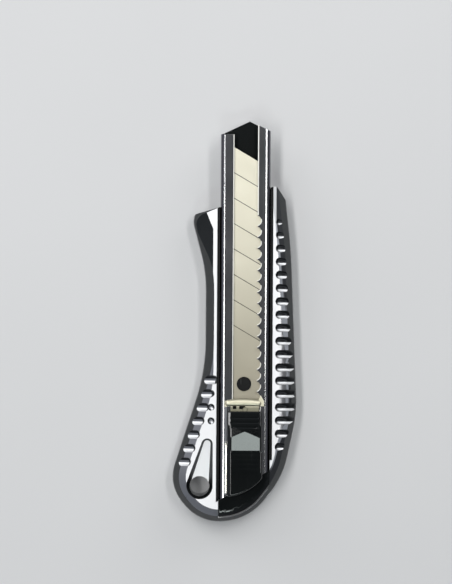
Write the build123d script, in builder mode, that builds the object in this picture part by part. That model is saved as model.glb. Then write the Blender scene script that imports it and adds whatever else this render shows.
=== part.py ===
"""Heavy-duty utility knife with an 18 mm snap-off blade in a folded steel channel.

Frame: X runs across the knife, Y along the blade towards its tip, and Z out of the front.
X = 0 is the middle of the blade channel and Z = 0 is the flat back of the cast handle.
"""

import os
from math import atan2, cos, degrees, radians, sin, sqrt, tan

from build123d import *

os.makedirs("parts", exist_ok=True)

# ---- cast handle -------------------------------------------------------------------------
body_thickness = 15.0
side_inset = 3.5  # how far the steep side leans in between its foot and the front
side_height = 6.5
side_blend = 5.0  # radius where the steep side meets the upright wall
back_radius = 3.0
bevel_inset = 5.5  # wide shallow bevel round the lobe and the tail
bevel_height = 2.9
shoulder_x = 12.4  # where the right side starts to roll off
shoulder_radius = 10.0
guard_x = -12.8  # where the finger guard starts to slope away
guard_slope = 38.0
guard_turns = [(35.8, 22.5), (12.0, -20.0)]  # where the slope's edge bends outwards, and by how much

# Corners of the handle's outline, each with the radius that rounds it.
side_top = (16.4, 47.5)
right_corners = [(18.6, 28.0, 200.0), (21.35, -38.0, 55.0)]
tail_corners = [(15.9, -63.7, 36.0), (1.5, -82.0, 23.0), (-18.3, -82.0, 18.0), (-30.7, -67.2, 16.0)]
waist_corners = [(-15.8, -21.2, 76.0), (-15.8, 18.5, 60.0)]
guard_corner = (-22.3, 43.2, 7.5)
guard_rise = (-11.1, 48.0)  # the guard's blank rises past its top edge
guard_low = (-24.0, 40.7)  # the top edge is cut straight, from outside the guard
guard_end = (-11.1, 44.3)
floor_end = (11.1, 52.9)  # the casting's top edge runs slanting under the channel
top_right = (12.6, 52.9)
blank_rise = 14.5  # extra length of the blank before its top is cut to shape
guard_stretch = 2.5  # the same on the guard, as a share of the guard's top edge
bevel_waist = [(-17.9, -27.8, 50.0), (-17.9, 12.0, 40.0)]  # the bevel leaves the outline above the grip
bevel_end_x = -30.0  # and runs clear of the guard

groove_radius = 1.75  # finger grooves along the right shoulder
groove_lift = 0.45  # height of a groove's centre above the surface that it cuts
groove_count = 18
groove_pitch = 5.3
groove_top_y = 38.8
groove_lead = 8.5  # how far round the shoulder a groove begins
groove_sweep = 50.0

notch_radius = 1.75  # grip notches along the left bevel
notch_lift = 0.55
notch_count = 7
notch_pitch = 5.47
notch_top_y = -24.6
notch_length = 12.0
notch_inset = 1.2  # from the flat face's edge to the middle of a notch's round end
dimple_radius = 1.5
dimple_x = -13.3

recess_low = (-17.8, -67.1)  # teardrop recess round the lanyard hole
recess_low_radius = 5.3
recess_high = (-14.8, -50.3)
recess_high_radius = 2.25
recess_depth_high = 1.9
recess_depth_low = 3.6
recess_draft = 25.0
recess_margin = 0.3  # depth of the cutter below its sloping end
lanyard_radius = 4.0
lanyard_y = -67.4

# ---- blade channel and its liner ---------------------------------------------------------
channel_height = 5.5
channel_proud = 0.5  # how far the channel stands out of the casting's front
sheet = 0.7
bend_radius = 2.0
left_lip = 5.4
right_lip = 5.1
nose_y = 79.2
nose_x = 1.6
nose_left_y = 73.7
nose_right_y = 75.0
channel_end_y = -66.8  # where the slanted lower end crosses the middle
end_slope = 0.6  # rise of that slanted end for each millimetre across
tooth_pitch = 4.42
tooth_count = 19  # notches of the lock, of which the lowest is used at rest
tooth_depth = 1.4
tooth_round = 2.06
top_tooth_y = 39.3
liner_floor = 1.2
liner_wall = 1.0
slip = 0.1  # clearance between pieces that lie in each other
liner_drop = 0.4  # how far the liner's walls stay below the front of the casting
right_step_y = -56.6  # where the channel's bed in the casting narrows
bed_step = 0.9

# ---- blade -------------------------------------------------------------------------------
blade_width = 18.0
blade_thickness = 0.5
blade_side_gap = 0.3  # from each edge of the blade to the channel's wall
blade_bend_gap = 0.05  # from its upper corners to the channel's bends
blade_tip_y = 71.2
blade_end_y = -33.0
blade_angle = 30.4
edge_grind = 1.5
score_pitch = 10.18
score_count = 7
score_depth = 0.14
score_width = 0.3
blade_hole_radius = 2.9
blade_hole = (-0.2, -26.2)
blade_corner = 1.0

# ---- carriage ----------------------------------------------------------------------------
carriage_fit = 0.2
holder_front_y = -21.5
holder_step_y = -38.0  # behind it the holder is low, to let the lock go down
holder_waist_y = -48.0
holder_end_y = -65.4
holder_low_height = 1.5
holder_tail_half = 5.6
pin_fit = 0.15
plate_thickness = 0.5
lip_front_y = -33.0
lip_depth = 2.0
lip_margin = 0.1  # from the guide plate's ends to the channel's bends
plate_end_y = -65.6
windows = [(-3.9, 1.5), (-0.8, 2.4)]  # middle and width of each
window_depth = 1.2
rail_end_y = -70.4  # lower end of the rail beside the thumb slide
rivet_x = 0.3
rivet_ys = (-36.4, -63.5)
rivet_radius = 1.0
boss_radius = 1.8
catch_width = 2.6
catch_reach = 2.2

# ---- thumb slide and lock ----------------------------------------------------------------
press_travel = 1.0
press_gap = 0.2
slide_left = -6.6
slide_right = 7.0
slide_foot_left = -6.7
slide_foot_right = 7.3
slide_top_y = -37.0
slide_foot_y = -53.2
slide_end_right = (7.3, -63.4)
slide_end_mid = (2.0, -68.4)
slide_end_left = (-6.7, -71.2)
slide_wall = 0.9
slide_crown = 11.5
slide_crest = 4.5  # height of the crest above the channel's lips
slide_rim = 2.6  # height of the slide's two ends above the lips
facet_top_y = -44.9
facet_foot_y = -52.7
facet_drop = 1.7
rib_pitch = 1.86
rib_radius = 0.55
upper_rib_y = -39.5
upper_rib_count = 3
lower_rib_y = -53.9
lower_rib_count = 6
stem = (-2.6, 3.2)
stem_ys = (-44.0, -60.0)
lock_thickness = 0.6
lock_gap = 0.5  # from the lock plate to the lips
lock_front_y = -38.7
lock_end_y = -61.0
tooth_fit = 0.15
spring_thickness = 0.3
spring_half = 2.5
spring_ys = (-43.0, -59.0)

# ---- end cap -----------------------------------------------------------------------------
cap_fit = 0.15
cap_thickness = 2.65
prong_width = 1.6
prong_length = 10.0

# ---- screws and cores --------------------------------------------------------------------
screw_ys = (34.0, -46.5)
screw_radius = 1.45
screw_hole_radius = 1.6
head_radius = 2.9
head_height = 2.2
head_sink = 2.6
head_fit = 0.3
hex_radius = 1.3
hex_depth = 1.2
core_size = (7.0, 13.0)
core_depth = 5.0
core_spacing = (11.0, 17.0)
core_rows = 5
core_mid_y = -4.0
core_round = 1.5

# ---- levels that follow ------------------------------------------------------------------
front_z = body_thickness + channel_proud
channel_back_z = front_z - channel_height
channel_width = blade_width + 2 * (blade_side_gap + sheet)
channel_half = channel_width / 2
lip_half = channel_half - bend_radius - lip_margin
inner_half = channel_half - sheet
inner_floor_z = channel_back_z + sheet
lip_under_z = front_z - sheet
bed_half = channel_half + 2 * slip + liner_wall
bed_floor_z = channel_back_z - 2 * slip - liner_floor
narrow_half = bed_half - bed_step
tooth_x = channel_half - right_lip
tooth_centre_x = tooth_x + tooth_depth - tooth_round
lock_left = left_lip - channel_half + lock_gap
lock_right = tooth_x - lock_gap
rest_tooth_y = top_tooth_y - (tooth_count - 1) * tooth_pitch
inner_bend = bend_radius - sheet
bend_run = inner_bend - blade_side_gap + blade_bend_gap
blade_top_z = lip_under_z - inner_bend + sqrt(inner_bend**2 - bend_run**2)
blade_under_z = blade_top_z - blade_thickness
holder_z = inner_floor_z + carriage_fit
holder_low_z = holder_z + holder_low_height
plate_z = front_z + slip
plate_top_z = plate_z + plate_thickness
plate_left = slide_left + slide_wall + carriage_fit
plate_right = slide_right - slide_wall - carriage_fit
rail_right = slide_foot_left - carriage_fit
lock_top_z = front_z
lock_z = lock_top_z - lock_thickness
skirt_z = front_z + press_travel + press_gap
slide_inside_z = plate_top_z + press_travel + press_gap
crest_z = front_z + slide_crest
rim_z = front_z + slide_rim
ledge_z = body_thickness - cap_thickness - cap_fit
cap_z = ledge_z + cap_fit
reach = 200.0  # longer than anything that it has to cut


def slanted_end(half_width, y_middle):
    """The two ends of the slanted lower edge, for a given half width."""
    rise = end_slope * half_width
    return (-half_width, y_middle - rise), (half_width, y_middle + rise)


# ---- outer form shared by the casting and the end cap ------------------------------------
side_slope = (side_top[0] - right_corners[0][0]) / (side_top[1] - right_corners[0][1])
blank_top = (side_top[0] + side_slope * blank_rise, side_top[1] + blank_rise)
guard_run = (guard_rise[0] - guard_corner[0], guard_rise[1] - guard_corner[1])
guard_far = tuple(corner + guard_stretch * run for corner, run in zip(guard_corner, guard_run))
side_foot_z = body_thickness - side_height
outline_corners = right_corners + tail_corners + waist_corners + [guard_corner]
with BuildPart() as body_form:
    with BuildSketch() as body_plan:
        with BuildLine():
            FilletPolyline(
                blank_top,
                *[(x, y) for x, y, radius in outline_corners],
                guard_far,
                radius=[radius for x, y, radius in outline_corners],
            )
            Line(guard_far, blank_top)
        make_face()
    extrude(amount=body_thickness)
    front_face = body_form.faces().sort_by(Axis.Z)[-1]
    chamfer(front_face.edges(), length=side_inset, length2=side_height, reference=front_face)
    foot_edges = body_form.edges().filter_by_position(Axis.Z, side_foot_z - 0.01, side_foot_z + 0.01)
    fillet(foot_edges, radius=side_blend)
    fillet(body_form.faces().sort_by(Axis.Z)[0].edges(), radius=back_radius)
    with BuildSketch() as beyond_top:
        with BuildLine():
            Polyline(
                guard_low,
                guard_end,
                floor_end,
                top_right,
                side_top,
                (reach, side_top[1]),
                (reach, reach),
                (guard_low[0], reach),
                close=True,
            )
        make_face()
    extrude(amount=body_thickness, mode=Mode.SUBTRACT)

bevel_corners = right_corners + tail_corners + bevel_waist
bevel_end = (bevel_end_x, blank_top[1])
with BuildPart() as bevel_form:
    with BuildSketch():
        with BuildLine():
            FilletPolyline(
                blank_top,
                *[(x, y) for x, y, radius in bevel_corners],
                bevel_end,
                radius=[radius for x, y, radius in bevel_corners],
            )
            Line(bevel_end, blank_top)
        make_face()
    extrude(amount=body_thickness)
    bevel_face = bevel_form.faces().sort_by(Axis.Z)[-1]
    bevel_edges = [edge for edge in bevel_face.edges() if edge.center().Y < blank_top[1] - 1]
    chamfer(bevel_edges, length=bevel_inset, length2=bevel_height, reference=bevel_face)

slope_run = body_thickness / tan(radians(guard_slope))
with BuildPart() as guard_wedge:
    with BuildSketch(Plane.XZ):
        with BuildLine():
            Polyline(
                (0, body_thickness),
                (-slope_run, 0),
                (-reach, 0),
                (-reach, reach),
                (0, reach),
                close=True,
            )
        make_face()
    extrude(amount=reach, both=True)

# The guard's slope runs out at both ends, so its cutter is what three turned wedges share.
with BuildPart() as guard_cutter:
    with Locations((guard_x, 0, 0)):
        add(guard_wedge.part)
    for turn_y, turn in guard_turns:
        with Locations(Location((guard_x, turn_y, 0), (0, 0, turn))):
            add(guard_wedge.part, mode=Mode.INTERSECT)

with BuildPart() as envelope:
    add(body_form.part)
    add(bevel_form.part, mode=Mode.INTERSECT)
    add(guard_cutter.part, mode=Mode.SUBTRACT)
    with BuildSketch(Plane.XZ):
        with Locations((shoulder_x, body_thickness - shoulder_radius)):
            Rectangle(reach, reach, align=(Align.MIN, Align.MIN))
            Circle(shoulder_radius, mode=Mode.SUBTRACT)
    extrude(amount=reach, both=True, mode=Mode.SUBTRACT)

# ---- cutters for the casting -------------------------------------------------------------
# One groove is drawn round the middle of the shoulder's curve, from straight above it.
groove_ring = shoulder_radius + groove_lift
with BuildPart() as finger_groove:
    with BuildSketch(Plane.YZ):
        with Locations((0, groove_ring)):
            Circle(groove_radius)
    revolve(axis=Axis.Y, revolution_arc=groove_sweep)
    with Locations((0, 0, groove_ring)):
        Sphere(groove_radius)

bevel_angle = degrees(atan2(bevel_height, bevel_inset))
grip_top = waist_corners[0]
grip_foot = tail_corners[-1]
grip_lean = (grip_top[0] - grip_foot[0]) / (grip_top[1] - grip_foot[1])
bevel_across = bevel_inset * sqrt(1 + grip_lean**2)


def notch_start(y):
    """Middle of a grip notch's round end, just outside the flat face."""
    bevel_x = grip_foot[0] + grip_lean * (y - grip_foot[1]) + bevel_across
    drop = notch_inset * bevel_height / bevel_inset
    return (bevel_x - notch_inset, y, body_thickness + notch_lift - drop)


with BuildPart() as grip_notch:
    with BuildSketch(Plane.YZ):
        Circle(notch_radius)
    extrude(amount=-notch_length)
    Sphere(notch_radius)

# The teardrop recess deepens towards the lanyard hole, so its cutter ends on a sloping plane.
recess_run = recess_high[1] - recess_low[1]
recess_tilt = degrees(atan2(recess_depth_low - recess_depth_high, recess_run))
with BuildPart() as recess_cutter:
    with BuildSketch(Plane.XY.offset(body_thickness)):
        with Locations(recess_low):
            Circle(recess_low_radius)
        with Locations(recess_high):
            Circle(recess_high_radius)
        make_hull()
    extrude(amount=-recess_depth_low - recess_margin, taper=recess_draft)
    floor_plane = Plane(
        origin=(0, recess_high[1], body_thickness - recess_depth_high),
        x_dir=(1, 0, 0),
        z_dir=(0, -sin(radians(recess_tilt)), cos(radians(recess_tilt))),
    )
    split(bisect_by=floor_plane, keep=Keep.TOP)

# ---- handle casting ----------------------------------------------------------------------
end_left, end_right = slanted_end(bed_half, channel_end_y - slip)
with BuildPart() as handle_casting:
    add(envelope.part)
    with BuildSketch(Plane.XY.offset(bed_floor_z)) as channel_bed:
        with BuildLine():
            Polyline(
                end_left,
                (narrow_half, channel_end_y - slip + end_slope * narrow_half),
                (narrow_half, right_step_y),
                (bed_half, right_step_y),
                (bed_half, reach),
                (-bed_half, reach),
                close=True,
            )
        make_face()
    extrude(amount=reach, mode=Mode.SUBTRACT)
    with BuildSketch(Plane.XY.offset(ledge_z)) as cap_bed:
        with BuildLine():
            Polyline(
                (-narrow_half, channel_end_y - end_slope * narrow_half),
                (narrow_half, channel_end_y + end_slope * narrow_half),
                (narrow_half, -reach),
                (-narrow_half, -reach),
                close=True,
            )
        make_face()
    extrude(amount=reach, mode=Mode.SUBTRACT)
    for row in range(groove_count):
        groove_middle = (shoulder_x, groove_top_y - row * groove_pitch, body_thickness - shoulder_radius)
        with Locations(Location(groove_middle, (0, groove_lead, 0))):
            add(finger_groove.part, mode=Mode.SUBTRACT)
    for row in range(notch_count):
        with Locations(Location(notch_start(notch_top_y - row * notch_pitch), (0, -bevel_angle, 0))):
            add(grip_notch.part, mode=Mode.SUBTRACT)
    for row in (1, 2, 3):
        with Locations((dimple_x, notch_top_y - row * notch_pitch, body_thickness + notch_lift)):
            Sphere(dimple_radius, mode=Mode.SUBTRACT)
    with Locations((recess_low[0], lanyard_y, 0)):
        Cylinder(lanyard_radius, 3 * body_thickness, mode=Mode.SUBTRACT)
    for screw_y in screw_ys:
        with Locations((0, screw_y, 0)):
            Cylinder(screw_hole_radius, 3 * body_thickness, mode=Mode.SUBTRACT)
            Cylinder(head_radius + head_fit, 2 * head_sink, mode=Mode.SUBTRACT)
    with BuildSketch(Plane.XY.offset(bed_floor_z)):
        with Locations((0, core_mid_y)):
            with GridLocations(*core_spacing, 2, core_rows):
                RectangleRounded(*core_size, core_round)
    extrude(amount=-core_depth, mode=Mode.SUBTRACT)
    add(recess_cutter.part, mode=Mode.SUBTRACT)

# ---- end cap: a plate flush with the casting, and two prongs that enter the channel ------
cap_top_y = channel_end_y - slip
cap_left, cap_right = slanted_end(narrow_half - cap_fit, cap_top_y)
prong_x = inner_half - inner_bend - prong_width / 2
with BuildPart() as end_cap:
    with BuildSketch(Plane.XY.offset(cap_z)):
        with BuildLine():
            Polyline(cap_left, cap_right, (cap_right[0], -reach), (cap_left[0], -reach), close=True)
        make_face()
    extrude(amount=reach)
    add(envelope.part, mode=Mode.INTERSECT)
    with BuildSketch(Plane.XY.offset(cap_z)):
        for side in (-1, 1):
            prong_foot = cap_top_y + end_slope * side * prong_x - prong_width
            with Locations((side * prong_x, prong_foot)):
                Rectangle(prong_width, prong_length + prong_width, align=(Align.CENTER, Align.MIN))
    extrude(amount=lip_under_z - carriage_fit - cap_z)

# ---- channel liner -----------------------------------------------------------------------
liner_half = bed_half - slip
liner_left, liner_right = slanted_end(liner_half, channel_end_y)
liner_narrow = narrow_half - slip
liner_z = bed_floor_z + slip
with BuildPart() as channel_liner:
    with BuildSketch(Plane.XY.offset(liner_z)) as liner_plan:
        with BuildLine():
            Polyline(
                liner_left,
                (liner_narrow, channel_end_y + end_slope * liner_narrow),
                (liner_narrow, right_step_y + slip),
                (liner_half, right_step_y + slip),
                (liner_half, floor_end[1]),
                (-liner_half, guard_end[1]),
                close=True,
            )
        make_face()
    extrude(amount=body_thickness - liner_drop - liner_z)
    with BuildSketch(Plane.XY.offset(channel_back_z - slip)):
        Rectangle(channel_width + 2 * slip, 2 * reach)
    extrude(amount=reach, mode=Mode.SUBTRACT)
    for screw_y in screw_ys:
        with Locations((0, screw_y, liner_z)):
            Cylinder(screw_hole_radius, 4 * liner_floor, mode=Mode.SUBTRACT)

# ---- blade channel -----------------------------------------------------------------------
channel_left, channel_right = slanted_end(channel_half, channel_end_y)
with BuildPart() as blade_channel:
    with BuildSketch(Plane.XZ.offset(-nose_y)) as channel_section:
        with Locations((0, channel_back_z + channel_height / 2)):
            RectangleRounded(channel_width, channel_height, bend_radius)
            inside = (channel_width - 2 * sheet, channel_height - 2 * sheet)
            RectangleRounded(*inside, inner_bend, mode=Mode.SUBTRACT)
        with Locations((left_lip - channel_half, lip_under_z - sheet / 2)):
            gap_width = channel_width - left_lip - right_lip
            Rectangle(gap_width, 2 * sheet, align=(Align.MIN, Align.MIN), mode=Mode.SUBTRACT)
    extrude(amount=nose_y - channel_left[1])
    with BuildSketch(Plane.XY.offset(channel_back_z - sheet)) as beyond_ends:
        with BuildLine():
            Polyline(
                (-channel_half, nose_left_y),
                (nose_x, nose_y),
                (channel_half, nose_right_y),
                (channel_half, reach),
                (-channel_half, reach),
                close=True,
            )
        make_face()
        with BuildLine():
            below_right = (channel_half, -reach)
            below_left = (-channel_half, -reach)
            Polyline(channel_left, channel_right, below_right, below_left, close=True)
        make_face()
    extrude(amount=2 * channel_height, mode=Mode.SUBTRACT)
    with BuildSketch(Plane.XY.offset(front_z)):
        with Locations((-channel_half, nose_left_y)):
            Rectangle(channel_half, reach, align=Align.MIN)
    extrude(amount=-bend_radius, mode=Mode.SUBTRACT)
    with BuildSketch(Plane.XY.offset(front_z)) as lock_notches:
        for row in range(tooth_count):
            with Locations((tooth_centre_x, top_tooth_y - row * tooth_pitch)):
                Circle(tooth_round)
    extrude(amount=-1.5 * sheet, mode=Mode.SUBTRACT)
    for screw_y in screw_ys:
        with Locations((0, screw_y, channel_back_z)):
            Cylinder(screw_radius + slip / 2, 4 * sheet, mode=Mode.SUBTRACT)

# ---- snap-off blade ----------------------------------------------------------------------
blade_half = blade_width / 2
blade_mid_z = (blade_top_z + blade_under_z) / 2
blade_fall = tan(radians(blade_angle))
with BuildPart() as snap_off_blade:
    with BuildSketch(Plane.XZ.offset(-blade_tip_y)) as blade_section:
        with BuildLine():
            Polyline(
                (-blade_half, blade_mid_z),
                (edge_grind - blade_half, blade_top_z),
                (blade_half, blade_top_z),
                (blade_half, blade_under_z),
                (edge_grind - blade_half, blade_under_z),
                close=True,
            )
        make_face()
    extrude(amount=blade_tip_y - blade_end_y)
    with BuildSketch(Plane.XY.offset(blade_under_z - sheet)) as beyond_blade:
        with BuildLine():
            Polyline(
                (-blade_half, blade_tip_y),
                (blade_half, blade_tip_y - blade_fall * blade_width),
                (blade_half, blade_tip_y),
                close=True,
            )
        make_face()
        for side in (-1, 1):
            with Locations(Location((side * blade_half, blade_end_y), 45)):
                Rectangle(blade_corner * sqrt(2), blade_corner * sqrt(2))
        with Locations(blade_hole):
            Circle(blade_hole_radius)
    extrude(amount=3 * sheet, mode=Mode.SUBTRACT)
    with BuildSketch(Plane.XY.offset(blade_top_z - score_depth)) as score_lines:
        for row in range(1, score_count + 1):
            score_y = blade_tip_y - blade_fall * blade_half - row * score_pitch
            with Locations(Location((0, score_y), -blade_angle)):
                Rectangle(2 * blade_width, score_width)
    extrude(amount=sheet, mode=Mode.SUBTRACT)

# ---- blade holder: carries the blade on its pin and pushes it from behind ----------------
holder_front_z = blade_under_z - slip
push_z = lip_under_z - slip
holder_half = inner_half - carriage_fit
with BuildPart() as blade_holder:
    with BuildSketch(Plane.XY.offset(holder_z)) as holder_plan:
        with BuildLine():
            Polyline(
                (-holder_half, holder_front_y),
                (holder_half, holder_front_y),
                (holder_half, holder_waist_y),
                (holder_tail_half, holder_waist_y),
                (holder_tail_half, holder_end_y + end_slope * holder_tail_half),
                (-holder_tail_half, holder_end_y - end_slope * holder_tail_half / 2),
                (-holder_tail_half, holder_waist_y),
                (-holder_half, holder_waist_y),
                close=True,
            )
        make_face()
    extrude(amount=holder_low_height)
    with BuildSketch(Plane.XY.offset(holder_z)):
        with Locations((0, holder_step_y)):
            block_length = holder_front_y - holder_step_y
            Rectangle(2 * holder_half, block_length, align=(Align.CENTER, Align.MIN))
    extrude(amount=holder_front_z - holder_z)
    with BuildSketch(Plane.XY.offset(holder_z)):
        with Locations((0, holder_step_y)):
            push_length = blade_end_y - slip - holder_step_y
            Rectangle(2 * holder_half, push_length, align=(Align.CENTER, Align.MIN))
    extrude(amount=push_z - holder_z)
    with BuildSketch(Plane.XZ):
        with Locations((0, channel_back_z + channel_height / 2)):
            holder_section = (inside[0] - 2 * carriage_fit, inside[1] - 2 * slip)
            RectangleRounded(*holder_section, inner_bend - slip)
    extrude(amount=reach, mode=Mode.INTERSECT)
    with BuildSketch(Plane.XY.offset(holder_z)):
        with Locations(blade_hole):
            Circle(blade_hole_radius - pin_fit)
    extrude(amount=front_z - sheet / 2 - holder_z)
    with BuildSketch(Plane.XY.offset(holder_z)):
        for rivet_y in rivet_ys:
            with Locations((rivet_x, rivet_y)):
                Circle(boss_radius)
    extrude(amount=plate_z - holder_z)
    with BuildSketch(Plane.XY.offset(holder_z + holder_low_height / 2)):
        for rivet_y in rivet_ys:
            with Locations((rivet_x, rivet_y)):
                Circle(rivet_radius)
    extrude(amount=reach, mode=Mode.SUBTRACT)

# ---- guide plate: runs on top of the lips and ties to the holder below them --------------
with BuildPart() as guide_plate:
    with BuildSketch(Plane.XY.offset(plate_z)) as guide_plan:
        with BuildLine():
            Polyline(
                (-lip_half, lip_front_y),
                (lip_half - catch_width, lip_front_y),
                (lip_half - catch_width / 2, lip_front_y + catch_reach),
                (lip_half, lip_front_y),
                (lip_half, lip_front_y - lip_depth),
                (plate_right, lip_front_y - lip_depth),
                (plate_right, plate_end_y + end_slope * plate_right),
                (plate_left, plate_end_y + end_slope * plate_left / 2),
                (plate_left, lip_front_y - lip_depth),
                (rail_right, lip_front_y - lip_depth),
                (rail_right, rail_end_y),
                (-lip_half, rail_end_y),
                close=True,
            )
        make_face()
        for window_x, window_width in windows:
            with Locations((window_x, lip_front_y - lip_depth)):
                below = (Align.CENTER, Align.MAX)
                Rectangle(window_width, window_depth, align=below, mode=Mode.SUBTRACT)
        stem_fit = 4 * slip
        with Locations(((stem[0] + stem[1]) / 2, (stem_ys[0] + stem_ys[1]) / 2)):
            stem_size = (stem[1] - stem[0], stem_ys[0] - stem_ys[1])
            Rectangle(stem_size[0] + 2 * stem_fit, stem_size[1] + 2 * stem_fit, mode=Mode.SUBTRACT)
        for rivet_y in rivet_ys:
            with Locations((rivet_x, rivet_y)):
                Circle(rivet_radius, mode=Mode.SUBTRACT)
    extrude(amount=plate_thickness)

with BuildPart() as carriage_rivets:
    with BuildSketch(Plane.XY.offset(holder_z + holder_low_height / 2)):
        for rivet_y in rivet_ys:
            with Locations((rivet_x, rivet_y)):
                Circle(rivet_radius - slip / 4)
    extrude(amount=plate_top_z - holder_z - holder_low_height / 2)

# ---- lock plate with the tooth that sits in a notch of the right lip ---------------------
with BuildPart() as lock_plate:
    with BuildSketch(Plane.XY.offset(lock_z)) as lock_plan:
        with BuildLine():
            Polyline(
                (lock_left, lock_front_y),
                (lock_right, lock_front_y),
                (lock_right, lock_end_y),
                (lock_left, lock_end_y),
                close=True,
            )
        make_face()
        with Locations((tooth_centre_x, rest_tooth_y)):
            Circle(tooth_round - tooth_fit)
        with Locations((tooth_centre_x, lock_front_y)):
            Rectangle(2 * tooth_round, tooth_round, align=(Align.CENTER, Align.MIN), mode=Mode.SUBTRACT)
    extrude(amount=lock_thickness)

# ---- press spring: a bowed leaf between the holder and the lock plate --------------------
spring_foot_z = holder_low_z
with BuildPart() as press_spring:
    with BuildSketch(Plane.YZ.offset(-spring_half)) as spring_section:
        with BuildLine():
            spring_mid = (spring_ys[0] + spring_ys[1]) / 2
            outer = ThreePointArc(
                (spring_ys[1], spring_foot_z + spring_thickness),
                (spring_mid, lock_z),
                (spring_ys[0], spring_foot_z + spring_thickness),
            )
            inner = ThreePointArc(
                (spring_ys[1], spring_foot_z),
                (spring_mid, lock_z - spring_thickness),
                (spring_ys[0], spring_foot_z),
            )
            Line(outer @ 0, inner @ 0)
            Line(outer @ 1, inner @ 1)
        make_face()
    extrude(amount=2 * spring_half)

# ---- thumb slide -------------------------------------------------------------------------
with BuildSketch() as slide_plan:
    with BuildLine():
        Polyline(
            slide_end_left,
            (slide_foot_left, slide_foot_y),
            (slide_left, slide_foot_y),
            (slide_left, slide_top_y),
            (slide_right, slide_top_y),
            (slide_right, slide_foot_y),
            (slide_foot_right, slide_foot_y),
            slide_end_right,
        )
        ThreePointArc(slide_end_right, slide_end_mid, slide_end_left)
    make_face()

slide_mid_x = (slide_left + slide_right) / 2
with BuildPart() as thumb_slide:
    with BuildSketch(Plane.XY.offset(skirt_z)):
        add(slide_plan.sketch)
    extrude(amount=crest_z + 1 - skirt_z)
    with BuildSketch(Plane.YZ.offset(-reach)) as slide_profile:
        with BuildLine():
            Polyline(
                (slide_top_y, skirt_z),
                (slide_top_y, rim_z),
                (facet_top_y, crest_z),
                (facet_foot_y, crest_z - facet_drop),
                (slide_end_right[1] + 2, crest_z - facet_drop / 3),
                (slide_end_left[1], rim_z - facet_drop / 2),
                (slide_end_left[1], skirt_z),
                close=True,
            )
        make_face()
    extrude(amount=2 * reach, mode=Mode.INTERSECT)
    with BuildSketch(Plane.XZ) as above_crown:
        with Locations((slide_mid_x, crest_z - slide_crown)):
            Rectangle(reach, reach, align=(Align.CENTER, Align.MIN))
            Circle(slide_crown, mode=Mode.SUBTRACT)
    extrude(amount=reach, mode=Mode.SUBTRACT)
    with BuildSketch(Plane.XY.offset(skirt_z)) as slide_hollow:
        offset(slide_plan.sketch, amount=-slide_wall, kind=Kind.INTERSECTION)
        with Locations((slide_mid_x, slide_top_y)):
            Rectangle(slide_right - slide_left - 2 * slide_wall, 4 * slide_wall)
    extrude(amount=slide_inside_z - skirt_z, mode=Mode.SUBTRACT)
    with BuildSketch(Plane.XY.offset(lock_top_z)):
        with Locations(((stem[0] + stem[1]) / 2, (stem_ys[0] + stem_ys[1]) / 2)):
            Rectangle(*stem_size)
    extrude(amount=slide_inside_z - lock_top_z)
    upper_slope = (crest_z - rim_z) / (slide_top_y - facet_top_y)
    for row in range(upper_rib_count):
        rib_y = upper_rib_y - row * rib_pitch
        rib_z = rim_z + upper_slope * (slide_top_y - rib_y)
        with Locations(Location((0, rib_y, rib_z), (0, 90, 0))):
            Cylinder(rib_radius, 4 * slide_crown, mode=Mode.SUBTRACT)
    lower_y = slide_end_right[1] + 2
    lower_slope = 2 * facet_drop / 3 / (facet_foot_y - lower_y)
    for row in range(lower_rib_count):
        rib_y = lower_rib_y - row * rib_pitch
        rib_z = crest_z - facet_drop + lower_slope * (facet_foot_y - rib_y)
        with Locations(Location((0, rib_y, rib_z), (0, 90, 0))):
            Cylinder(rib_radius, 4 * slide_crown, mode=Mode.SUBTRACT)

# ---- channel screws ----------------------------------------------------------------------
with BuildPart() as channel_screws:
    for screw_y in screw_ys:
        with BuildSketch(Plane.XY.offset(head_sink - head_height)):
            with Locations((0, screw_y)):
                Circle(head_radius)
        extrude(amount=head_height)
        with BuildSketch(Plane.XY.offset(head_sink)):
            with Locations((0, screw_y)):
                Circle(screw_radius)
        extrude(amount=inner_floor_z - head_sink)
        with BuildSketch(Plane.XY.offset(head_sink - head_height)):
            with Locations((0, screw_y)):
                RegularPolygon(hex_radius, 6)
        extrude(amount=hex_depth, mode=Mode.SUBTRACT)

# ---- write every piece -------------------------------------------------------------------
handle_casting.part.label = "handle_casting"
channel_liner.part.label = "channel_liner"
blade_channel.part.label = "blade_channel"
channel_screws.part.label = "channel_screws"
end_cap.part.label = "end_cap"
snap_off_blade.part.label = "snap_off_blade"
blade_holder.part.label = "blade_holder"
guide_plate.part.label = "guide_plate"
carriage_rivets.part.label = "carriage_rivets"
lock_plate.part.label = "lock_plate"
press_spring.part.label = "press_spring"
thumb_slide.part.label = "thumb_slide"

export_step(handle_casting.part, "parts/handle_casting.step")
export_step(channel_liner.part, "parts/channel_liner.step")
export_step(blade_channel.part, "parts/blade_channel.step")
export_step(channel_screws.part, "parts/channel_screws.step")
export_step(end_cap.part, "parts/end_cap.step")
export_step(snap_off_blade.part, "parts/snap_off_blade.step")
export_step(blade_holder.part, "parts/blade_holder.step")
export_step(guide_plate.part, "parts/guide_plate.step")
export_step(carriage_rivets.part, "parts/carriage_rivets.step")
export_step(lock_plate.part, "parts/lock_plate.step")
export_step(press_spring.part, "parts/press_spring.step")
export_step(thumb_slide.part, "parts/thumb_slide.step")
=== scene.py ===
"""Looks of the utility knife: finished metal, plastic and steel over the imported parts.

Lengths are in metres and in the frame of the parts: X across, Y along the blade, Z out of the front.
The pieces that are shaped here are worked out in millimetres, and mapped_sheet scales them.
"""

import math

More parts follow.
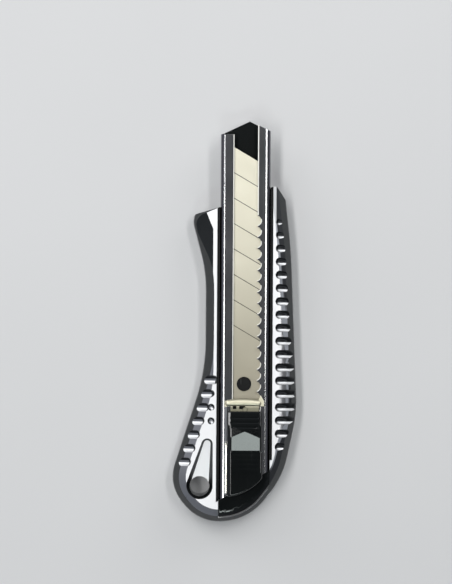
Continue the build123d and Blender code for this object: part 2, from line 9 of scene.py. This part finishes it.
import bmesh
import bpy
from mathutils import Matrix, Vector


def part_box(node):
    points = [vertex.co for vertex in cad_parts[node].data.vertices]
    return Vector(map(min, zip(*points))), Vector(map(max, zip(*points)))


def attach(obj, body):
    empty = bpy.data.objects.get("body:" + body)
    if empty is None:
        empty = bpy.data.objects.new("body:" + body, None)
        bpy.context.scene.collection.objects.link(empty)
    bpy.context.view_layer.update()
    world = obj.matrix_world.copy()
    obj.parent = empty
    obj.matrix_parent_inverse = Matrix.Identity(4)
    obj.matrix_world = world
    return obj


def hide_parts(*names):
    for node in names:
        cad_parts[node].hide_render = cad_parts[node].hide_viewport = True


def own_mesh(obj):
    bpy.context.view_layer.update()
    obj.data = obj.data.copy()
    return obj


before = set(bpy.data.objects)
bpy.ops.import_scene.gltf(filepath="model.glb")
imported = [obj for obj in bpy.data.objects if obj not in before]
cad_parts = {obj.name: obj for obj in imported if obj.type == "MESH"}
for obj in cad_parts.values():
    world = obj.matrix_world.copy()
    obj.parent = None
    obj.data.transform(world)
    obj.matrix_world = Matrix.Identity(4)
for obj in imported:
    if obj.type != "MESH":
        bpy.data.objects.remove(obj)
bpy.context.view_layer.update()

MM = 0.001


def frame_top(node):
    """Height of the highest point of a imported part."""
    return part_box(node)[1].z


# ---- shader maths -------------------------------------------------------------------------------
class Value:
    """An output socket that adds Math nodes when it is used in an expression."""

    def __init__(self, finish, socket):
        self.finish = finish
        self.socket = socket

    def maths(self, operation, *terms):
        return self.finish.node("ShaderNodeMath", *terms, settings={"operation": operation})

    def __add__(self, other):
        return self.maths("ADD", self, other)

    def __radd__(self, other):
        return self.maths("ADD", other, self)

    def __sub__(self, other):
        return self.maths("SUBTRACT", self, other)

    def __rsub__(self, other):
        return self.maths("SUBTRACT", other, self)

    def __mul__(self, other):
        return self.maths("MULTIPLY", self, other)

    def __truediv__(self, other):
        return self.maths("DIVIDE", self, other)

    def __pow__(self, other):
        return self.maths("POWER", self, other)

    def above(self, limit):
        return self.maths("GREATER_THAN", self, limit)

    def below(self, limit):
        return self.maths("LESS_THAN", self, limit)

    def between(self, low, high):
        return self.above(low) * self.below(high)

    def high(self, other):
        return self.maths("MAXIMUM", self, other)

    def floor(self):
        return self.maths("FLOOR", self)

    def swing(self, amount):
        """Turns a noise about 0.5 into one about zero, this wide from end to end."""
        return (self - 0.5) * amount


class Finish:
    """A material, with one method that makes any node."""

    def __init__(self, name):
        self.material = bpy.data.materials.new(name)
        self.material.use_nodes = True
        self.tree = self.material.node_tree
        self.tree.nodes.clear()
        self.place = self.node("ShaderNodeTexCoord", output="Object")

    def feed(self, slot, term):
        if isinstance(term, Value):
            self.tree.links.new(term.socket, slot)
        elif term is not None:
            slot.default_value = term

    def node(self, kind, *terms, settings=None, stops=(), output=0, **inputs):
        """Adds a node: its settings and ramp stops, then its inputs in their order or by their names."""
        node = self.tree.nodes.new(kind)
        for key, setting in (settings or {}).items():
            setattr(node, key, setting)
        if stops:
            ramp = node.color_ramp.elements
            while len(ramp) < len(stops):
                ramp.new(1.0)
            for element, (position, colour) in zip(ramp, stops):
                element.position = position
                element.color = colour
        for slot, term in zip(node.inputs, terms):
            self.feed(slot, term)
        for key, term in inputs.items():
            self.feed(node.inputs[key.replace("_", " ")], term)
        return Value(self, node.outputs[output]) if node.outputs else None

    def stretched(self, x, y, z, turn=0.0):
        """Object coordinates scaled on each axis, and turned about Z."""
        return self.node("ShaderNodeMapping", Vector=self.place, Scale=(x, y, z), Rotation=(0, 0, turn))

    def noise(self, scale, detail, where=None):
        return self.node("ShaderNodeTexNoise", Vector=where or self.place, Scale=scale, Detail=detail)

    def span(self, value, low, high, to_low=0.0, to_high=1.0):
        """Maps a value from one span to another, smoothly and without running past it."""
        smooth = {"interpolation_type": "SMOOTHSTEP"}
        return self.node("ShaderNodeMapRange", value, low, high, to_low, to_high, settings=smooth)

    def fall(self, value, low, high):
        """1 below a span and 0 above it."""
        return self.span(value, low, high, 1.0, 0.0)

    def blend(self, share, first, second):
        """Mixes two colours."""
        other_kinds = [None] * 5  # the node's slots for vectors and plain numbers come first
        colours = {"data_type": "RGBA"}
        return self.node("ShaderNodeMix", share, *other_kinds, first, second, settings=colours, output=2)

    def layered(self, colour, *layers):
        """Lays colours over one another, each by its own share."""
        for share, layer in layers:
            colour = self.blend(share, colour, layer)
        return colour

    def axis(self, name):
        return self.node("ShaderNodeSeparateXYZ", Vector=self.place, output=name)

    def facing(self, axis):
        """How far the surface faces along an axis: on Z, 1 where it lies flat and 0 where it is upright."""
        direction = self.node("ShaderNodeTexCoord", output="Normal")
        return self.node("ShaderNodeSeparateXYZ", Vector=direction, output=axis)

    def bump(self, height, depth, strength):
        return self.node("ShaderNodeBump", Height=height, Distance=depth, Strength=strength, output="Normal")

    def surface(self, colour, roughness, normal=None, **others):
        """Closes the material with a Principled shader."""
        shader = self.node(
            "ShaderNodeBsdfPrincipled", Base_Color=colour, Roughness=roughness, Normal=normal, **others
        )
        self.node("ShaderNodeOutputMaterial", Surface=shader)
        return self.material


# ---- finishes -----------------------------------------------------------------------------------
def cast_metal():
    """Die-cast alloy: grinding and a painted sheen brighten its flats, grey as cast on its bevels, painted
    shade down its sides.
    """
    flat_from, flat_full, strip_depth = 0.5 * MM, 0.25 * MM, 0.06 * MM  # below the front
    recess_right, recess_front = -9.0 * MM, -46.5 * MM
    shoulder_left, shoulder_right, shoulder_radius = 10.9 * MM, 12.4 * MM, 10.0 * MM
    right_side, arm_end = 9.5 * MM, 36.0 * MM
    groove_depth, groove_reach = (0.28 * MM, 0.42 * MM), (12.2 * MM, 14.4 * MM)
    notches_right, notches_back, notches_front = -11.8 * MM, -61.0 * MM, -22.5 * MM
    tail_back, tail_left = (-62.0 * MM, -56.0 * MM), (-9.5 * MM, -7.0 * MM)
    # How far a surface faces out of the front, at the two ends of each look
    flat, land_side, land_top = (0.955, 0.99), (0.83, 0.86), (0.90, 0.93)
    groove_floor, side_slope, wall_slope = (0.50, 0.58), (0.79, 0.87), (0.12, 0.40)
    notch_slope, tail_slope, rubbed_edge = (0.15, 0.93), (0.80, 0.98), (0.91, 0.97)
    least_strip, least_groove = 0.80, 0.25
    # How far a slope leans forwards or outwards
    groove_lean, notch_lean, notch_back = (0.25, 0.42), (0.23, 0.33), (-0.35, -0.15)
    notch_outward, outer_slope = 0.02, -0.9

    f = Finish("cast_alloy_satin")
    cloud, grain, speck = f.noise(45.0, 4.0), f.noise(2600.0, 2.0), f.noise(900.0, 3.0)
    across, along, height = f.axis("X"), f.axis("Y"), f.axis("Z")
    outward, forward, facing = f.facing("X"), f.facing("Y"), f.facing("Z")
    top = frame_top("handle_casting")

    # Ground flats, brightened by grinding and by a painted sheen: the front face, the floor of the recess
    # and a strip along the right shoulder
    on_top = f.span(height, top - flat_from, top - flat_full)
    recess = across.below(recess_right) * along.below(recess_front)
    front_flat = f.span(facing, *flat) * on_top.high(recess)
    strip_end = along.above(arm_end) * facing.above(least_strip)
    strip_height = height.above(top - strip_depth).high(strip_end)
    ground_and_sheen = front_flat.high(across.between(shoulder_left, shoulder_right) * strip_height)

    # Grip grooves cut into the rolled right shoulder, and the lands between them: a painted sheen on the
    # lands, painted shade on the groove floors and a painted highlight on their front walls
    painted_land_sheen = across.above(right_side) * f.span(facing, *land_side) * f.fall(facing, *land_top)
    roll = (across - shoulder_right).high(0.0)
    rise = height - (top - shoulder_radius)
    below_shoulder = shoulder_radius - (roll * roll + rise * rise) ** 0.5
    hollow = f.span(below_shoulder, *groove_depth) * across.above(right_side)
    groove_painted_shade = hollow * f.span(facing, *groove_floor)
    front_slope = f.span(forward, *groove_lean) * facing.above(least_groove)
    groove_painted_highlight = front_slope * hollow * f.span(across, *groove_reach)

    # Grip notches on the left: a painted highlight on one slope, painted shade on the other
    steep = facing.between(*notch_slope) * (outward / facing).above(outer_slope)
    by_notches = across.below(notches_right) * along.between(notches_back, notches_front)
    in_notch = by_notches * outward.below(notch_outward) * steep
    notch_painted_highlight = f.span(forward / facing, *notch_lean) * in_notch
    notch_painted_shade = f.fall(forward, *notch_back) * in_notch

    # Bevel round the tail, with painted shade towards the end cap
    tail_bevel = facing.between(*tail_slope) * f.fall(along, *tail_back)
    tail_painted_shade = f.span(across, *tail_left) * tail_bevel

    # Painted highlights and painted shade from the grip cuts and the tail bevel, gathered into one mask
    # each.
    painted_highlight = notch_painted_highlight.high(groove_painted_highlight)
    shade = notch_painted_shade.high(groove_painted_shade * (1.0 - groove_painted_highlight)).high(tail_painted_shade)
    # Painted shade: the steeper sides are set near black, and the upright walls below them are set back to a
    # lighter grey.
    side = f.fall(facing, *side_slope)
    wall = f.fall(facing, *wall_slope)
    rubbed = facing.between(*rubbed_edge) * f.span(speck, 0.35, 0.6)
    as_cast = f.blend(cloud, (0.27, 0.275, 0.30, 1), (0.33, 0.335, 0.35, 1))
    bright = f.blend(cloud, (0.82, 0.825, 0.83, 1), (0.88, 0.88, 0.885, 1))
    colour = f.layered(
        as_cast,
        (painted_land_sheen, (0.80, 0.82, 0.86, 1)),
        (side, (0.050, 0.053, 0.055, 1)),
        (wall, (0.40, 0.405, 0.41, 1)),
        (rubbed, (0.42, 0.42, 0.43, 1)),
        # painted shade, near black
        (shade * 0.9, (0.02, 0.022, 0.024, 1)),
        # painted highlight, near white
        (painted_highlight, (0.88, 0.89, 0.90, 1)),
        # grinding and painted sheen on the flats
        (ground_and_sheen, bright),
    )
    roughness = 0.38 + cloud.swing(0.10) + speck.swing(0.10) - rubbed * 0.08
    normal = f.bump(grain * 0.6 + speck * 0.4, 0.03 * MM, 0.35)
    # Metal is lowered under the painted sheen and the painted highlights.
    return f.surface(colour, roughness, normal, Metallic=1.0 - ground_and_sheen * 0.65 - painted_highlight * 0.55)


def rolled_steel():
    """Bright folded sheet with hair-fine lines along its length; painted shade inside it, a painted dark
    reflection on its bends and painted highlights on its cut rims.
    """
    inside_half, inside_low, inside_high = 9.45 * MM, 10.4 * MM, (14.2 * MM, 14.7 * MM)
    lips_half, lips_low, rim_low = 8.1 * MM, 14.7 * MM, 14.9 * MM
    bend_half, bend_low = 8.0 * MM, 14.0 * MM
    pitch, top_notch, notch_middle = 4.42 * MM, 39.3 * MM, 4.24 * MM
    notches_back, notches_front = -42.4 * MM, 41.4 * MM
    notch_left, notch_radius, notch_half = 4.9 * MM, 2.36 * MM, 0.6 * MM
    left_edge, right_edge = (-4.92 * MM, -4.5 * MM), (4.8 * MM, 5.3 * MM)
    cut_face, bend_top, bend_foot = (0.80, 0.97), (0.85, 0.965), (0.1, 0.35)  # facing the front

    f = Finish("folded_steel_bright")
    lines = f.noise(1.0, 2.0, where=f.stretched(9000.0, 60.0, 9000.0))
    smear = f.noise(60.0, 4.0)
    across, along, height, facing = f.axis("X"), f.axis("Y"), f.axis("Z"), f.facing("Z")
    squared = across * across

    inside = squared.below(inside_half ** 2) * height.above(inside_low)
    # Painted shade: the inside of the channel is set near black.
    painted_inside_shade = inside * f.fall(height, *inside_high)
    lips = squared.below(lips_half ** 2) * height.above(lips_low)
    sheared = lips * f.fall(facing, *cut_face)

    # Painted highlight rims where the lips are cut: round each lock notch and along both straight edges
    turns = (along - top_notch) / pitch + 0.5
    off = (turns - turns.floor() - 0.5) * pitch
    from_middle = across - notch_middle
    reach = (from_middle * from_middle + off * off) ** 0.5
    by_notches = along.between(notches_back, notches_front) * off.below(notch_half)
    notch_rim = reach.below(notch_radius) * across.above(notch_left) * by_notches
    straight_rim = across.between(*right_edge) * along.above(notches_front)
    left_rim = across.between(*left_edge)
    rim = height.above(rim_low) * left_rim.high(notch_rim).high(straight_rim)

    # Painted dark reflection on the outer bends of the channel, with a cool tint.
    painted_bend_reflection = f.fall(facing, *bend_top) * f.span(facing, *bend_foot)
    outside = squared.above(bend_half ** 2) * height.above(bend_low)
    colour = f.layered(
        f.blend(smear, (0.60, 0.605, 0.61, 1), (0.68, 0.68, 0.68, 1)),
        (painted_bend_reflection * outside, (0.15, 0.145, 0.165, 1)),
        (rim, (0.80, 0.79, 0.74, 1)),
        (painted_inside_shade, (0.008, 0.009, 0.009, 1)),
    )
    polish = 0.14 + lines.swing(0.06) + smear.swing(0.06)
    roughness = polish + painted_inside_shade * 0.25 + sheared.high(rim) * 0.35
    # Metal is lowered under the painted highlight rims.
    return f.surface(colour, roughness, f.bump(lines, 0.004 * MM, 0.1), Metallic=1.0 - rim * 0.6)


def blade_steel():
    """Ground blade: warm satin with fine lines across it, painted shade in its score lines, and painted
    shade darkening it towards its tail.
    """
    score_depth, score_start = 0.1 * MM, 0.02 * MM
    tail_end, tip_start = -40.0 * MM, 55.0 * MM

    f = Finish("blade_steel_ground")
    lines = f.noise(1.0, 3.0, where=f.stretched(60.0, 7000.0, 7000.0))
    smear = f.noise(70.0, 4.0)
    top = frame_top("snap_off_blade")
    # Painted shade in the score lines.
    score_painted_shade = f.fall(f.axis("Z"), top - score_depth, top - score_start)
    # Painted shade: the blade's colour darkens from the tip back towards the tail.
    forward = f.span(f.axis("Y"), tail_end, tip_start)
    tail = f.blend(smear, (0.36, 0.33, 0.26, 1), (0.43, 0.40, 0.31, 1))
    tip = f.blend(smear, (0.74, 0.71, 0.57, 1), (0.82, 0.79, 0.65, 1))
    colour = f.layered(tail, (forward, tip), (score_painted_shade, (0.10, 0.095, 0.085, 1)))
    roughness = 0.34 + lines.swing(0.08) + smear.swing(0.04) + score_painted_shade * 0.2
    return f.surface(colour, roughness, f.bump(lines, 0.005 * MM, 0.5), Metallic=1.0)


def spring_steel():
    """Bare spring steel with lines along its length."""
    f = Finish("spring_steel")
    lines = f.noise(1.0, 2.0, where=f.stretched(4000.0, 120.0, 4000.0))
    smear = f.noise(120.0, 4.0)
    colour = f.blend(smear, (0.52, 0.51, 0.46, 1), (0.66, 0.65, 0.60, 1))
    roughness = 0.24 + lines.swing(0.10) + smear.swing(0.08)
    return f.surface(colour, roughness, f.bump(lines, 0.002 * MM, 0.4), Metallic=1.0)


def rolled_strip():
    """Warm satin of the guide plate, with painted shade behind its bead and along its left border."""
    shade_start, shade_full, border_right = -35.1 * MM, -35.6 * MM, -6.4 * MM

    f = Finish("rolled_strip_satin")
    smear = f.noise(150.0, 4.0)
    light = f.blend(smear, (0.56, 0.53, 0.40, 1), (0.68, 0.65, 0.51, 1))
    # Painted shade behind the bead, and darker still along the left border beside the slide.
    behind = f.fall(f.axis("Y"), shade_full, shade_start)
    border = f.axis("X").below(border_right) * behind
    colour = f.layered(light, (behind, (0.24, 0.23, 0.17, 1)), (border, (0.16, 0.165, 0.175, 1)))
    roughness = 0.42 + smear.swing(0.08)
    return f.surface(colour, roughness, f.bump(smear, 0.01 * MM, 0.4), Metallic=1.0)


def zinc_plate():
    """Zinc on the screws, mottled as it comes from the bath."""
    f = Finish("zinc_plate")
    smear = f.noise(300.0, 4.0)
    colour = f.blend(smear, (0.50, 0.51, 0.54, 1), (0.66, 0.66, 0.67, 1))
    roughness = 0.34 + smear.swing(0.2)
    return f.surface(colour, roughness, f.bump(smear, 0.02 * MM, 0.4), Metallic=1.0)


def moulded_plastic(name, dark, light, gloss, grain_depth, coat):
    """Moulded black plastic with a fine skin, faint smears and a hint of scuffing."""
    scuff_turn, scuff_share = 0.5, (0.62, 0.75)

    f = Finish(name)
    skin = f.noise(3800.0, 2.0)
    smear = f.noise(90.0, 5.0)
    streaks = f.noise(1.0, 4.0, where=f.stretched(900.0, 140.0, 900.0, scuff_turn))
    scuff = f.span(streaks, *scuff_share)
    colour = f.blend(smear, dark, light)
    roughness = gloss + smear.swing(0.08) + scuff * 0.08
    normal = f.bump(skin, grain_depth, 0.5)
    return f.surface(
        colour, roughness, normal, Coat_Weight=coat, Coat_Roughness=0.12, Specular_IOR_Level=0.3
    )


finishes = {
    "cast": cast_metal(),
    "channel": rolled_steel(),
    "blade": blade_steel(),
    "spring": spring_steel(),
    "strip": rolled_strip(),
    "zinc": zinc_plate(),
    "grip": moulded_plastic(
        "grip_plastic_gloss",
        dark=(0.002, 0.003, 0.003, 1),
        light=(0.004, 0.005, 0.005, 1),
        gloss=0.13,
        grain_depth=0.003 * MM,
        coat=0.4,
    ),
    "liner": moulded_plastic(
        "liner_plastic_matte",
        dark=(0.006, 0.006, 0.006, 1),
        light=(0.014, 0.014, 0.014, 1),
        gloss=0.22,
        grain_depth=0.006 * MM,
        coat=0.0,
    ),
}


# ---- making a piece -----------------------------------------------------------------------------
def in_scene(mesh, name, material):
    """A scene object made from a finished mesh."""
    data = bpy.data.meshes.new(name)
    mesh.to_mesh(data)
    mesh.free()
    data.materials.append(material)
    made = bpy.data.objects.new(name, data)
    bpy.context.scene.collection.objects.link(made)
    return made


def as_piece(mesh, name, body, finish, sharp, replaced=None):
    """A visible piece with its finish, the body that carries it and the part that it stands for."""
    piece = in_scene(mesh, name, finishes[finish])
    piece.data.shade_smooth()
    piece.data.set_sharp_from_angle(angle=math.radians(sharp))
    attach(piece, body)
    if replaced:
        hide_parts(replaced)
    return piece


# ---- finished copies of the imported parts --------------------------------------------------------
def finished_copy(node, body, finish, edge, sharp=30.0):
    """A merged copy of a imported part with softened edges, which stands for that part."""
    merged, shortest, flat_angle = 0.002 * MM, 0.004 * MM, math.radians(0.6)
    edge_steps, even_weight = 2, 50
    mesh = bmesh.new()
    mesh.from_mesh(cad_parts[node].data)
    bmesh.ops.remove_doubles(mesh, verts=mesh.verts, dist=merged)
    bmesh.ops.dissolve_degenerate(mesh, edges=mesh.edges, dist=shortest)
    bmesh.ops.dissolve_limit(mesh, angle_limit=flat_angle, verts=mesh.verts, edges=mesh.edges)
    piece = as_piece(mesh, node + "_look", body, finish, sharp, replaced=node)
    if edge:
        bevel = piece.modifiers.new("edges", "BEVEL")
        bevel.width = edge
        bevel.segments = edge_steps
        bevel.limit_method = "ANGLE"
        bevel.angle_limit = math.radians(sharp)
        bevel.use_clamp_overlap = True
        bevel.miter_outer = "MITER_ARC"
    normals = piece.modifiers.new("flat_faces_stay_flat", "WEIGHTED_NORMAL")
    normals.mode = "FACE_AREA_WITH_ANGLE"
    normals.weight = even_weight
    normals.keep_sharp = True
    return piece


finished_copy("handle_casting", "handle", "cast", 0.25 * MM, sharp=20.0)
finished_copy("blade_channel", "handle", "channel", 0.28 * MM)
finished_copy("channel_liner", "handle", "liner", 0.1 * MM)
finished_copy("channel_screws", "handle", "zinc", 0.12 * MM)
finished_copy("end_cap", "cap", "grip", 0.25 * MM)
finished_copy("snap_off_blade", "carriage", "blade", 0.0, sharp=4.0)
finished_copy("blade_holder", "carriage", "liner", 0.15 * MM)
finished_copy("guide_plate", "carriage", "strip", 0.06 * MM)
finished_copy("carriage_rivets", "carriage", "strip", 0.1 * MM)
press_leaf = finished_copy("press_spring", "carriage", "spring", 0.0)
finished_copy("lock_plate", "thumb", "spring", 0.06 * MM)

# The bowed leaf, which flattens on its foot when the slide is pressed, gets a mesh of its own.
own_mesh(press_leaf)


# ---- pieces shaped here -------------------------------------------------------------------------
EDGE_SUNK = 0.05  # how far a raised edge sits in the guide plate


def mapped_sheet(columns, rows, place):
    """A grid whose corners are laid by place(across, along), each of which runs from 0 to 1."""
    mesh = bmesh.new()
    bmesh.ops.create_grid(mesh, x_segments=columns, y_segments=rows, size=0.5)
    for vert in mesh.verts:
        vert.co = Vector(place(vert.co.x + 0.5, 0.5 - vert.co.y)) * MM
    return mesh


def open_rim(mesh):
    return [edge for edge in mesh.edges if edge.is_boundary]


def drawn_on(mesh, rim):
    """Draws a rim on into a new band of faces, and gives the band's new corners and its new rim."""
    made = bmesh.ops.extrude_edge_only(mesh, edges=rim)["geom"]
    corners = [item for item in made if isinstance(item, bmesh.types.BMVert)]
    edges = [item for item in made if isinstance(item, bmesh.types.BMEdge)]
    return corners, edges


def closed(mesh, rim):
    """Closes a mesh over its rim, with every face turned outwards."""
    bmesh.ops.contextual_create(mesh, geom=rim)
    bmesh.ops.recalc_face_normals(mesh, faces=mesh.faces)
    return mesh


def along_line(stops, place):
    """Reads a value off a chain of straight stretches, given as (place, value) from high to low."""
    for (first, first_value), (second, second_value) in zip(stops, stops[1:]):
        if place >= second:
            share = min(1.0, max(0.0, (first - place) / (first - second)))
            return first_value + (second_value - first_value) * share
    return stops[-1][1]


def ease(share):
    """Smooth step from 0 to 1."""
    share = min(1.0, max(0.0, share))
    return share * share * (3.0 - 2.0 * share)


def thumb_slide():
    """Thumb slide: two ribbed crests with a flat seat that falls back between them."""
    columns, rows = 44, 300
    front, straight_end, straight_share = -37.0, -61.6, 0.76
    left, right, foot_left, foot_right = -6.6, 7.0, -6.7, 7.3
    foot_start, foot_length = -53.0, 0.5
    end_middle, end_radius = (-8.75, -50.8), 20.5
    crest, roof_slope, roof_round = 20.0, 0.1, 0.5
    levels = [(front, 18.15), (-44.9, crest), (-52.7, 18.3), (-61.4, 19.3), (-71.3, 18.6)]
    flank_slope, left_flank, right_flank = 0.15, 1.25, 0.6
    lower_flank_slope, lower_flank_start, lower_flank_length = 0.5, -46.6, 1.5
    rounding, left_rounding, end_stretch = 0.6, 0.15, 0.8
    groove_half, rib_pitch, rib_end, rib_fade = 0.4, 1.86, 0.9, 0.7
    ribs = [(-39.6 - row * rib_pitch, 0.085) for row in range(3)]
    ribs += [(-54.0 - row * rib_pitch, 0.06) for row in range(5)]
    skirt, ceiling, wall = 16.75, 17.45, 0.9
    front_opening, corner_post = 17.3, 0.5
    side_start, plate_clear = 5.5, 5.8  # from the middle
    front_band, end_band, slack = 1.0, 0.3, 0.05
    middle = (left + right) / 2

    def sides(y):
        share = ease((foot_start - y) / foot_length)
        return left + (foot_left - left) * share, right + (foot_right - right) * share

    def end_of(x):
        return end_middle[1] - math.sqrt(max(0.0, end_radius ** 2 - (x - end_middle[0]) ** 2))

    def place(across, along):
        spread = 0.5 - 0.5 * math.cos(math.pi * across)
        if along < straight_share:
            y = front + (straight_end - front) * along / straight_share
            low, high = sides(y)
            x = low + (high - low) * spread
        else:
            x = foot_left + (foot_right - foot_left) * spread
            share = (along - straight_share) / (1.0 - straight_share)
            y = straight_end + (end_of(x) - straight_end) * math.sin(share * math.pi / 2)
        low, high = sides(y)
        roof = crest - roof_slope * (math.hypot(x - middle, roof_round) - roof_round)
        z = min(along_line(levels, y), roof)
        lower_share = ease((lower_flank_start - y) / lower_flank_length)
        slope = flank_slope + (lower_flank_slope - flank_slope) * lower_share
        z -= slope * max(0.0, left_flank - (x - low), right_flank - (high - x))
        fade = ease((min(x - low, high - x) - rib_end) / rib_fade)
        for rib_y, rib_depth in ribs:
            off = abs(y - rib_y) / groove_half
            if off < 1.0:
                z -= rib_depth * fade * (1.0 - off * off)
        left_gap = (x - low) * rounding / left_rounding
        gaps = (left_gap, high - x, front - y, (y - end_of(x)) * end_stretch)
        lean = sum(max(0.0, 1.0 - gap / rounding) ** 2 for gap in gaps)
        z -= rounding * (1.0 - math.sqrt(max(0.0, 1.0 - lean)))
        return x, y, z

    mesh = mapped_sheet(columns, rows, place)
    rim = open_rim(mesh)
    for level, shrink in ((skirt, 0.0), (skirt, wall), (ceiling, 0.0)):
        corners, rim = drawn_on(mesh, rim)
        for vert in corners:
            x, y = vert.co.x / MM, vert.co.y / MM
            from_middle = abs(x - middle)
            in_opening = y > front - wall - slack and from_middle < (right - left) / 2 - corner_post
            vert.co.z = (front_opening if in_opening and level < ceiling else level) * MM
            if shrink and from_middle > side_start:
                side = max(from_middle - shrink, plate_clear)
                vert.co.x = (middle + math.copysign(side, x - middle)) * MM
            if shrink and y > front - front_band:
                vert.co.y -= shrink * MM
            elif shrink and y < end_of(x) + end_band:
                vert.co.y += shrink * MM
    as_piece(closed(mesh, rim), "thumb_slide_grip", "thumb", "grip", 50.0, "thumb_slide")


def strip_bead():
    """Rolled bead across the front of the guide plate, bowed a little forwards."""
    columns, rows = 60, 16
    low, high = -7.7, 6.8
    middle_y, half_depth, height, bow = -33.9, 1.15, 0.85, 0.7
    base = frame_top("guide_plate") / MM - EDGE_SUNK
    reach = (high - low) / 2

    def place(across, along):
        x = low + (high - low) * across
        off = (x - (low + high) / 2) / reach
        past_end = max(0.0, abs(off) * reach - reach + half_depth)
        fullness = math.sqrt(max(0.0, 1.0 - past_end ** 2 / half_depth ** 2))
        forward, up = math.cos(math.pi * along), math.sin(math.pi * along)
        bowed = bow * (1.0 - off * off) * (0.5 + 0.5 * forward)
        return x, middle_y + bowed + half_depth * fullness * forward, base + height * fullness * up

    mesh = mapped_sheet(columns, rows, place)
    as_piece(closed(mesh, open_rim(mesh)), "guide_strip_bead", "carriage", "strip", 40.0)


def rail_edge():
    """Turned-up edge that stiffens the guide plate beside the thumb slide."""
    columns, rows = 24, 60
    left, right = -7.6, -6.95
    front, back = -46.8, -70.3
    base = frame_top("guide_plate") / MM - EDGE_SUNK
    lift, lean, run_out, round_off = 0.13, 0.162, 7.0, 0.1
    back_share, edge_drop = 0.2, 0.5

    def place(across, along):
        x = left + (right - left) * across
        y = front + (back - front) * along
        rise = ease((front - y) / run_out) * ease((y - back) / round_off + back_share)
        edge = max(0.0, 1.0 - min(x - left, right - x) / round_off)
        return x, y, base + rise * (lift + lean * (x - left)) * (1.0 - edge_drop * edge * edge)

    mesh = mapped_sheet(columns, rows, place)
    corners, rim = drawn_on(mesh, open_rim(mesh))
    for vert in corners:
        vert.co.z = (base - EDGE_SUNK) * MM
    as_piece(closed(mesh, rim), "guide_rail_edge", "carriage", "spring", 40.0)


thumb_slide()
strip_bead()
rail_edge()


# ---- floor, lights and camera -------------------------------------------------------------------
def floor():
    """Plain pale floor under the knife."""
    half_width, dullness = 3.0, 0.8
    f = Finish("pale_floor")
    tone = f.blend(f.noise(9.0, 2.0), (0.60, 0.60, 0.60, 1), (0.63, 0.63, 0.63, 1))
    mesh = bmesh.new()
    bmesh.ops.create_grid(mesh, x_segments=2, y_segments=2, size=half_width)
    in_scene(mesh, "floor", f.surface(tone, dullness))


def lamp(name, place, aim, size, watts, colour=(1.0, 1.0, 1.0)):
    """A rectangular lamp that shines from its place at its aim."""
    data = bpy.data.lights.new(name, "AREA")
    data.color = colour
    data.shape = "RECTANGLE"
    data.size, data.size_y = size
    data.energy = watts
    light = bpy.data.objects.new(name, data)
    light.location = place
    light.rotation_euler = (Vector(aim) - Vector(place)).to_track_quat("-Z", "Y").to_euler()
    bpy.context.scene.collection.objects.link(light)


class Surround(Finish):
    """The world's light, built with the same node maker."""

    def __init__(self, name):
        self.world = bpy.data.worlds.new(name)
        self.world.use_nodes = True
        self.tree = self.world.node_tree
        self.tree.nodes.clear()
        self.place = self.node("ShaderNodeTexCoord", output="Generated")
        bpy.context.scene.world = self.world


def sky():
    """Soft studio surround: dim low down and straight overhead, lighter between, weaker on the right."""
    levels = [
        (0.0, (0.17, 0.18, 0.19, 1)),
        (0.3, (0.32, 0.34, 0.37, 1)),
        (0.62, (0.34, 0.36, 0.40, 1)),
        (0.95, (0.05, 0.052, 0.058, 1)),
    ]
    right_start, right_full, right_strength, turn = 0.0, 0.6, 0.5, 0.3
    f = Surround("studio")
    colour = f.node("ShaderNodeValToRGB", stops=levels, Fac=f.axis("Z"))
    rightward = f.axis("X") - f.axis("Y") * turn
    strength = f.span(rightward, right_start, right_full, 1.0, right_strength)
    light = f.node("ShaderNodeBackground", Color=colour, Strength=strength)
    f.node("ShaderNodeOutputWorld", Surface=light)


def camera():
    """Looks straight at the front, from above, with the picture turned a little."""
    picture_width, picture_height, mm_per_pixel = 452, 584, 0.4
    middle_pixel = (245.0, 318.5)  # where X and Y are zero
    sensor, distance, front, turn = 36.0, 0.9, 0.0155, 0.35
    data = bpy.data.cameras.new("camera")
    data.sensor_width = sensor
    data.lens = sensor * distance / (picture_height * mm_per_pixel * MM)
    eye = bpy.data.objects.new("camera", data)
    across = (picture_width / 2 - middle_pixel[0]) * mm_per_pixel * MM
    along = (middle_pixel[1] - picture_height / 2) * mm_per_pixel * MM
    eye.location = (across, along, front + distance)
    eye.rotation_euler = (0.0, 0.0, math.radians(turn))
    bpy.context.scene.collection.objects.link(eye)
    bpy.context.scene.camera = eye


floor()
sky()
middle = (0.0, 0.0, 0.0)
lamp("left_strip", place=(-0.335, 0.25, 1.0), aim=(0.0, 0.25, 0.0), size=(1.2, 0.14), watts=6.0)
lamp("right_strip", place=(0.335, 0.32, 1.0), aim=(0.0, 0.32, 0.0), size=(0.7, 0.14), watts=3.0)
lamp("seat_card", (0.01, -0.58, 1.0), middle, size=(0.2, 0.2), watts=1.1, colour=(0.90, 1.0, 0.97))
lamp("left_window", place=(-0.72, 0.76, 0.5), aim=middle, size=(0.7, 0.8), watts=3.8)
lamp("right_window", place=(0.66, 0.78, 0.5), aim=middle, size=(0.7, 0.7), watts=3.2)
camera()

scene = bpy.context.scene
scene.view_settings.view_transform = "Standard"
